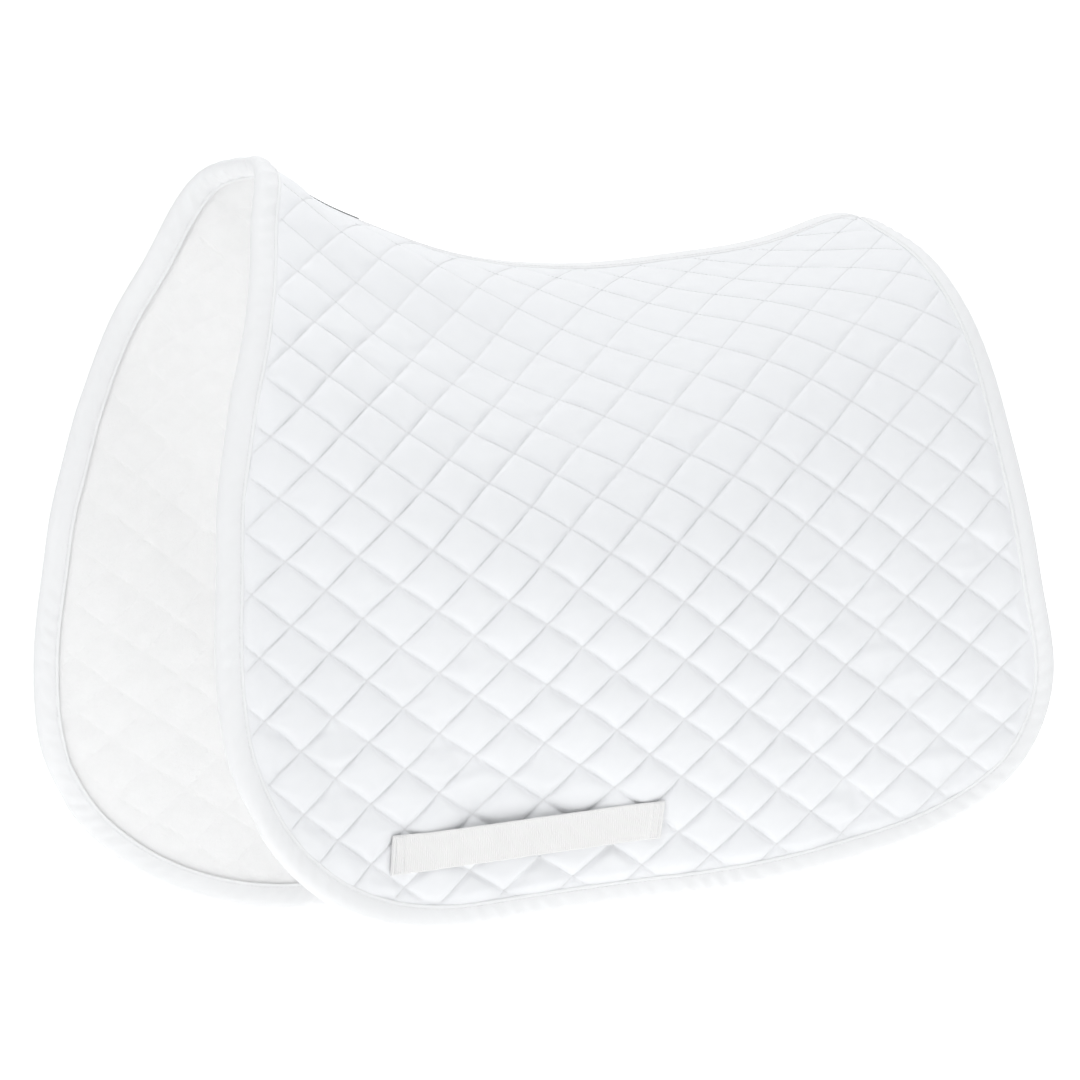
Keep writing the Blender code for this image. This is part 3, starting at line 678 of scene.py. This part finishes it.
# -------------------------------------------------------------------- stitches
def stitch_mesh(P0, P1, N, radius, rise):
    """Short rounded stitches from P0 to P1, bowed up along N in the middle."""
    P0, P1, N = (np.asarray(a, float) for a in (P0, P1, N))
    T = P1 - P0
    L = np.linalg.norm(T, axis=1, keepdims=True)
    T /= L
    B = np.cross(T, N)
    B /= np.linalg.norm(B, axis=1, keepdims=True)
    U = np.cross(B, T)
    rings = ((0.0, -0.35, 0.55), (0.22, 0.45, 1.0), (0.5, 0.75, 1.05), (0.78, 0.45, 1.0), (1.0, -0.35, 0.55))
    V = []
    for f, up, r in rings:
        c = P0 + T * L * f + U * rise * up
        for k in range(5):
            a = 2 * math.pi * k / 5
            V.append(c + (B * math.cos(a) + U * math.sin(a)) * radius * r)
    V = np.stack(V, 1)
    nst = len(P0)
    idx = np.arange(nst)[:, None, None] * 25 + np.arange(25).reshape(5, 5)[None]
    nx = np.roll(idx, -1, axis=2)
    F = np.stack([idx[:, :-1], nx[:, :-1], nx[:, 1:], idx[:, 1:]], -1).reshape(-1, 4)
    return V.reshape(-1, 3), F


def stitches_along(P, N, pitch, length, offset=0.0):
    """Start and end points of stitches at an even pitch along a polyline."""
    s = np.concatenate([[0], np.cumsum(np.linalg.norm(np.diff(P, axis=0), axis=1))])
    k = np.arange(offset, s[-1] - length, pitch)
    at = lambda q: np.stack([np.interp(q, s, P[:, i]) for i in range(3)], -1)
    nn = np.stack([np.interp(k + length / 2, s, N[:, i]) for i in range(3)], -1)
    nn /= np.linalg.norm(nn, axis=1, keepdims=True)
    return at(k), at(k + length), nn


for tag, side in (("left", -1), ("right", 1)):
    # along the binding, on both faces
    S = np.linspace(0.012, PATH_L - 0.012, 1400)
    parts = []
    for lv in (0.00058, -0.00915):
        xw = inset(S, np.full(len(S), 0.0172))
        P, N = on_pad(xw, side, np.full(len(S), lv))
        if lv < 0:
            N = -N
        parts.append(stitches_along(P, N, 0.0036, 0.0029))
    P0, P1, N = (np.concatenate([p[i] for p in parts]) for i in range(3))
    V, F = stitch_mesh(P0, P1, N, 0.00026, 0.0003)
    ob = mesh_object("binding_topstitch_" + tag, V, F, thread_m, uv=V[:, :2])
    drape_with(ob)
    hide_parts("binding_stitch_" + tag)

    # along every quilting line, lying in its crease
    parts = []
    for fam in (0, 1):
        for line in range(-18, 19):
            r = np.linspace(-18, 18, 1800)
            a, b = (np.full(len(r), float(line)), r) if fam == 0 else (r, np.full(len(r), float(line)))
            da, db = seam_wobble(a, b)
            xw = lattice(a + da, b + db)
            t = cut_w(xw[:, 0]) - xw[:, 1]
            ok = (xw[:, 0] > -0.40) & (xw[:, 0] < 0.345) & (xw[:, 1] > -0.27) & (t > TAPE_T + 0.002)
            if ok.sum() < 20:
                continue
            d = np.full(len(r), -1.0)
            d[ok] = edge_distance(xw[ok])
            ok &= d > BIND_W + 0.0015
            run = np.nonzero(ok)[0]
            if len(run) < 12:
                continue
            for piece in np.split(run, np.nonzero(np.diff(run) > 1)[0] + 1):
                if len(piece) < 12:
                    continue
                q = {"d": d[piece], "t": t[piece]}
                free = held_flat(q)
                lv = BORDER + free * relief(xw[piece, 0], t[piece]) * (SEAM_LEVEL - BORDER) + 0.00022
                P, N = on_pad(xw[piece], side, lv)
                parts.append(stitches_along(P, N, 0.0034, 0.0027, 0.0008))
    P0, P1, N = (np.concatenate([p[i] for p in parts]) for i in range(3))
    V, F = stitch_mesh(P0, P1, N, 0.00021, 0.0002)
    ob = mesh_object("quilting_thread_" + tag, V, F, thread_m, uv=V[:, :2])
    print("quilting stitches", len(P0))
    drape_with(ob)

# ------------------------------------------------------------------ spine tapes
TAPE_X = (-0.2720, 0.2760)


BIND_INNER_X = (EDGE_X0 + BIND_W, EDGE_X1 - BIND_W)


def tape_piece(name, top, bottom, node):
    n = 260
    X = np.linspace(TAPE_X[0], TAPE_X[1], n)
    fs = np.array([-1.0, -1.02, -0.97, -0.88, -0.8, -0.6, -0.35, -0.12, 0.12, 0.35, 0.6, 0.8, 0.88, 0.97, 1.02, 1.0])
    prof = np.array([0.0, 0.45, 0.85, 0.8, 0.75, 1.0, 1.15, 1.2, 1.2, 1.15, 1.0, 0.75, 0.8, 0.85, 0.45, 0.0])
    ff = np.concatenate([fs, fs[::-1][2:-2]])
    tuck = smooth(BIND_INNER_X[0] + 0.002, BIND_INNER_X[0] - 0.004, X) + smooth(BIND_INNER_X[1] - 0.002, BIND_INNER_X[1] + 0.004, X)
    hi = bottom + (top - bottom) * prof[None, :] * (1 - 0.8 * tuck[:, None])
    lo = np.full((n, len(fs) - 4), bottom)
    levels = np.concatenate([hi, lo], 1)
    xs = np.broadcast_to(X[:, None], (n, len(ff)))
    tt = np.broadcast_to(ff * TAPE_T, xs.shape)
    wrinkle = 0.00012 * np.sin(2 * np.pi * (xs / 0.013 + 0.6 * tt / TAPE_T) + 2 * np.sin(40 * xs)) * (np.abs(tt) > 0.5 * TAPE_T)
    P, _ = lift(xs, tt, 1, levels + wrinkle * (1 - tuck[:, None]))
    V, F = sweep(P)
    F = F.tolist()
    m = len(ff)
    for row, fl in ((0, False), (n - 1, True)):
        ring = [(k, m - 1 - k) for k in range(0, m // 2)]
        for (a, b), (c, e) in zip(ring[:-1], ring[1:]):
            q = [row * m + a, row * m + b, row * m + e, row * m + c]
            F.append(q[::-1] if fl else q)
    uv = np.stack([xs, tt], -1)
    ob = mesh_object(name, V, F, tape_m, uv=uv)
    outward_faces(ob)
    subdivided(ob, 1)
    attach(ob, "spine")
    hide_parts(node)
    return ob


tape_piece("spine_band_outer", 0.0010, -0.0018, "spine_tape_outer")
tape_piece("spine_band_inner", -0.0090, -0.0064, "spine_tape_inner")
for tag, side in (("left", -1), ("right", 1)):
    X = np.linspace(BIND_INNER_X[0] + 0.002, BIND_INNER_X[1] - 0.002, 500)
    parts = []
    for lv in (0.00085, -0.00885):
        P, N = lift(X, np.full(len(X), 0.86 * TAPE_T), side, np.full(len(X), lv))
        if lv < 0:
            N = -N
        parts.append(stitches_along(P, N, 0.0036, 0.0029))
    P0, P1, N = (np.concatenate([p[i] for p in parts]) for i in range(3))
    V, F = stitch_mesh(P0, P1, N, 0.00026, 0.0003)
    ob = mesh_object("spine_topstitch_" + tag, V, F, thread_m, uv=V[:, :2])
    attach(ob, "spine")
    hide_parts("spine_stitch_" + tag)

# ------------------------------------------------------------------------ label
n = 60
X = np.linspace(LABEL_X[0], LABEL_X[1], n)
ff = np.concatenate([np.linspace(-LABEL_F[0], LABEL_F[1], 18), np.linspace(LABEL_F[1], -LABEL_F[0], 18)])
lv = np.concatenate([np.full(18, 0.0021), np.full(18, 0.0014)])
xs = np.broadcast_to(X[:, None], (n, 36))
P, _ = lift(xs, np.broadcast_to(ff * TAPE_T, xs.shape), 1, np.broadcast_to(lv, xs.shape))
V, F = sweep(P)
F = F.tolist()
for row, fl in ((0, False), (n - 1, True)):
    for k in range(17):
        q = [row * 36 + k, row * 36 + 35 - k, row * 36 + 34 - k, row * 36 + k + 1]
        F.append(q[::-1] if fl else q)
ob = mesh_object("plain_label", V, F, label_m, uv=np.stack([xs, np.broadcast_to(ff * TAPE_T, xs.shape)], -1))
outward_faces(ob)
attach(ob, "spine")
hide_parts("blank_label")


# ---------------------------------------------------------------- girth keepers
def strap_path(side):
    """Centre line, width direction and outward normal along the webbing, smoothed
    from the same stations as the solid model's."""
    def surf(x, lv):
        return on_pad(np.array([x, STRAP_W]), side, lv)[0]

    def frame_at(x, lv):
        c = surf(x, lv)
        v = on_pad(np.array([x, STRAP_W + 0.01]), side, lv)[0] - on_pad(np.array([x, STRAP_W - 0.01]), side, lv)[0]
        v /= np.linalg.norm(v)
        u = surf(x + 0.008, lv) - surf(x - 0.008, lv)
        u -= v * (u @ v)
        u /= np.linalg.norm(u)
        n = np.cross(u, v)
        return c, u, v, n * np.sign(n[1]) * side
    xa, xb = STRAP_X
    half = STRAP_THICK / 2
    low = STRAP_SEAT + half
    mid = 0.5 * (xa + xb)
    c0 = frame_at(xa + STRAP_TAB + STRAP_RAMP, STRAP_GAP + half)[0]
    c1 = frame_at(xb - STRAP_TAB - STRAP_RAMP, STRAP_GAP + half)[0]
    _, _, vm, nm = frame_at(mid, STRAP_GAP)
    u = (c1 - c0) / np.linalg.norm(c1 - c0)
    v = vm - u * (vm @ u)
    v /= np.linalg.norm(v)
    nn = np.cross(u, v)
    nn *= np.sign(nn @ nm)
    keys = [frame_at(xa, low), frame_at(xa + STRAP_TAB, low), (c0, u, v, nn), (c1, u, v, nn),
            frame_at(xb - STRAP_TAB, low), frame_at(xb, low)]
    dist = np.concatenate([[0], np.cumsum([np.linalg.norm(b[0] - a[0]) for a, b in zip(keys[:-1], keys[1:])])])
    return keys, dist


RIB = 0.00178
for tag, side in (("left", -1), ("right", 1)):
    keys, dist = strap_path(side)
    total = dist[-1]
    n = int(total / RIB * 7)
    S = np.linspace(0, total, n)
    C = np.stack([np.interp(S, dist, [k[0][i] for k in keys]) for i in range(3)], -1)
    Vd = np.stack([np.interp(S, dist, [k[2][i] for k in keys]) for i in range(3)], -1)
    Nd = np.stack([np.interp(S, dist, [k[3][i] for k in keys]) for i in range(3)], -1)
    # ease the bends at the ends of the ramps
    kk = int(0.012 / total * n) // 2 * 2 + 1
    ker = np.hanning(kk + 2)[1:-1]
    ker /= ker.sum()

    def eased(A):
        pad = np.concatenate([A[:1] + (A[:1] - A[1:kk // 2 + 1][::-1]), A, A[-1:] + (A[-1:] - A[-kk // 2:-1][::-1])])
        return np.stack([np.convolve(pad[:, i], ker, "valid") for i in range(3)], -1)[:len(A)]
    C, Vd, Nd = eased(C), eased(Vd), eased(Nd)
    Vd /= np.linalg.norm(Vd, axis=1, keepdims=True)
    Nd -= Vd * (Nd * Vd).sum(1, keepdims=True)
    Nd /= np.linalg.norm(Nd, axis=1, keepdims=True)
    rib = 0.5 + 0.5 * np.cos(2 * np.pi * S / RIB)
    endfold = smooth(0.0115, 0.0095, np.minimum(S, total - S))
    half = STRAP_THICK / 2
    ys = np.array([-1.0, -0.985, -0.95, -0.90, -0.8, -0.5, 0.0, 0.5, 0.8, 0.90, 0.95, 0.985, 1.0])
    edge = np.array([0.0, 0.55, 0.92, 1.0, 1.0, 1.0, 1.0, 1.0, 1.0, 1.0, 0.92, 0.55, 0.0])
    ribby = np.array([0.0, 0.2, 0.45, 0.9, 1, 1, 1, 1, 1, 0.9, 0.45, 0.2, 0.0])
    top = (half * edge)[None, :] + (0.00036 * ribby)[None, :] * (rib[:, None] - 1.0) + 0.0007 * endfold[:, None] * edge[None, :]
    bot = -(half * edge)[None, :] - (0.00026 * ribby)[None, :] * (rib[:, None] - 1.0) - 0.0003 * endfold[:, None] * edge[None, :]
    hgt = np.concatenate([top, bot[:, ::-1][:, 1:-1]], 1)
    yy = np.concatenate([ys, ys[::-1][1:-1]])
    wav = 0.00018 * np.sin(S * 90) + 0.00012 * np.sin(S * 233 + 1)
    P = C[:, None, :] + Vd[:, None, :] * (yy * STRAP_WIDTH / 2)[None, :, None] + Nd[:, None, :] * (hgt + wav[:, None])[..., None]
    V, F = sweep(P)
    F = F.tolist()
    m = len(yy)
    for row, fl in ((0, False), (n - 1, True)):
        ring = [(k, (m - k) % m) for k in range(0, m // 2 + 1)]
        for (a, b), (c, e) in zip(ring[:-1], ring[1:]):
            q = [row * m + a, row * m + b, row * m + e, row * m + c]
            q = list(dict.fromkeys(q))
            if len(q) == 3:
                q = q + [q[-1]]
            F.append(q[::-1] if fl else q)
    F4 = [f for f in F if len(set(f)) == 4]
    T3 = [list(dict.fromkeys(f)) for f in F if len(set(f)) == 3]
    uv = np.stack([np.broadcast_to(S[:, None], hgt.shape), np.broadcast_to(yy * STRAP_WIDTH / 2, hgt.shape)], -1)
    me_v = V
    ob = mesh_object("girth_webbing_" + tag, me_v, F4, webbing_m, uv=uv)
    bm = bmesh.new()
    bm.from_mesh(ob.data)
    bm.verts.ensure_lookup_table()
    for f in T3:
        try:
            bm.faces.new([bm.verts[i] for i in f])
        except ValueError:
            pass
    bmesh.ops.recalc_face_normals(bm, faces=bm.faces)
    for f in bm.faces:
        f.smooth = True
    bm.to_mesh(ob.data)
    bm.free()
    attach(ob, tag + "_flap")
    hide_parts("girth_strap_" + tag)

    # sewn ends: a row of stitches across, and a short return along each side
    for which, e in (("front", 0), ("rear", 1)):
        parts = []
        for off in (0.0028, 0.0088):
            s = off if e == 0 else total - off
            i = int(np.clip(round(s / total * (n - 1)), 0, n - 1))
            yv = np.linspace(-0.88, 0.88, 60) * STRAP_WIDTH / 2
            P = C[i] + Vd[i] * yv[:, None] + Nd[i] * (half + 0.00075)
            N = np.broadcast_to(Nd[i], P.shape)
            parts.append(stitches_along(P, N, 0.0030, 0.0024))
        for yside in (-0.88, 0.88):
            a, b = (0.0028, 0.0088) if e == 0 else (total - 0.0088, total - 0.0028)
            ii = [int(round(q / total * (n - 1))) for q in np.linspace(a, b, 12)]
            P = C[ii] + Vd[ii] * yside * STRAP_WIDTH / 2 + Nd[ii] * (half + 0.00075)
            parts.append(stitches_along(P, Nd[ii], 0.0030, 0.0024))
        P0, P1, N = (np.concatenate([p[i] for p in parts]) for i in range(3))
        V, F = stitch_mesh(P0, P1, N, 0.00026, 0.0002)
        ob = mesh_object("keeper_stitch_%s_%s" % (which, tag), V, F, thread_m, uv=V[:, :2])
        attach(ob, tag + "_flap")
        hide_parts("strap_stitch_%s_%s" % (which, tag))

# --------------------------------------------------------------------- studio
def studio():
    N = Nodes("studio_white")
    noise = N.add("ShaderNodeTexNoise", Scale=1.5, Detail=2.0)
    geo = N.add("ShaderNodeTexCoord")
    N.link(geo.outputs["Object"], noise.inputs["Vector"])
    N.bsdf.inputs["Base Color"].default_value = (0.93, 0.93, 0.93, 1)
    N.bsdf.inputs["Roughness"].default_value = 0.9
    N.bsdf.inputs["Emission Color"].default_value = (1, 1, 1, 1)
    N.bsdf.inputs["Emission Strength"].default_value = 0.50
    # floor with a soft sweep up behind, turned to face the camera
    rows = []
    ys = [-6.0, -1.0, 2.0, 3.2]
    zs = [0.0, 0.0, 0.0, 0.0]
    for k in range(1, 13):
        a = k / 12 * math.pi / 2
        ys.append(3.2 + 2.0 * math.sin(a))
        zs.append(2.0 - 2.0 * math.cos(a))
    ys.append(5.2)
    zs.append(7.0)
    P = np.array([[[x, y, z] for x in np.linspace(-9, 9, 7)] for y, z in zip(ys, zs)])
    az = math.atan2(CAM_DIR[0], CAM_DIR[1])
    c, s = math.cos(az), math.sin(az)
    R = np.array([[c, s, 0], [-s, c, 0], [0, 0, 1]])
    P = P @ R.T
    P[..., 2] += FLOOR_Z
    V, F = sweep(P, closed_section=False)
    ob = mesh_object("studio_floor", V, F, N.mat)


CAM_POS = (-1.33007, -2.61439, -0.05288)
CAM_DIR = (0.44525, 0.89370, -0.05521)
FLOOR_Z = -0.80
studio()
cam = bpy.data.cameras.new("camera")
cam.lens, cam.sensor_width = 120.255, 36.0
cam.clip_start, cam.clip_end = 0.05, 60
co = bpy.data.objects.new("camera", cam)
co.location = CAM_POS
co.rotation_mode = "QUATERNION"
co.rotation_quaternion = Vector(CAM_DIR).to_track_quat("-Z", "Y")
bpy.context.scene.collection.objects.link(co)
bpy.context.scene.camera = co

right = Vector(CAM_DIR).cross(Vector((0, 0, 1))).normalized()
up = right.cross(Vector(CAM_DIR)).normalized()
fwd = Vector(CAM_DIR).normalized()
centre = Vector((-0.02, -0.10, -0.20))


def area_light(name, where, power, size, size_y=None, color=(1, 1, 1)):
    """A soft box at (right, up, towards camera) metres from the object's middle."""
    L = bpy.data.lights.new(name, "AREA")
    L.energy, L.shape = power, "RECTANGLE"
    L.size, L.size_y = size, size_y or size
    L.color = color
    o = bpy.data.objects.new(name, L)
    o.location = centre + right * where[0] + up * where[1] - fwd * where[2]
    o.rotation_mode = "QUATERNION"
    o.rotation_quaternion = (centre - o.location).to_track_quat("-Z", "Y")
    bpy.context.scene.collection.objects.link(o)
    return o


area_light("key", (-0.8, 2.0, 2.4), 27, 1.3)
area_light("fill_right", (2.6, 0.8, 2.2), 7, 2.5)
area_light("top", (0.3, 3.0, -0.3), 38, 2.4)
world = bpy.data.worlds.new("studio")
world.use_nodes = True
world.node_tree.nodes["Background"].inputs["Color"].default_value = (0.96, 0.98, 1.0, 1)
world.node_tree.nodes["Background"].inputs["Strength"].default_value = 0.46
bpy.context.scene.world = world
bpy.context.scene.view_settings.view_transform = "Standard"
bpy.context.scene.view_settings.look = "None"
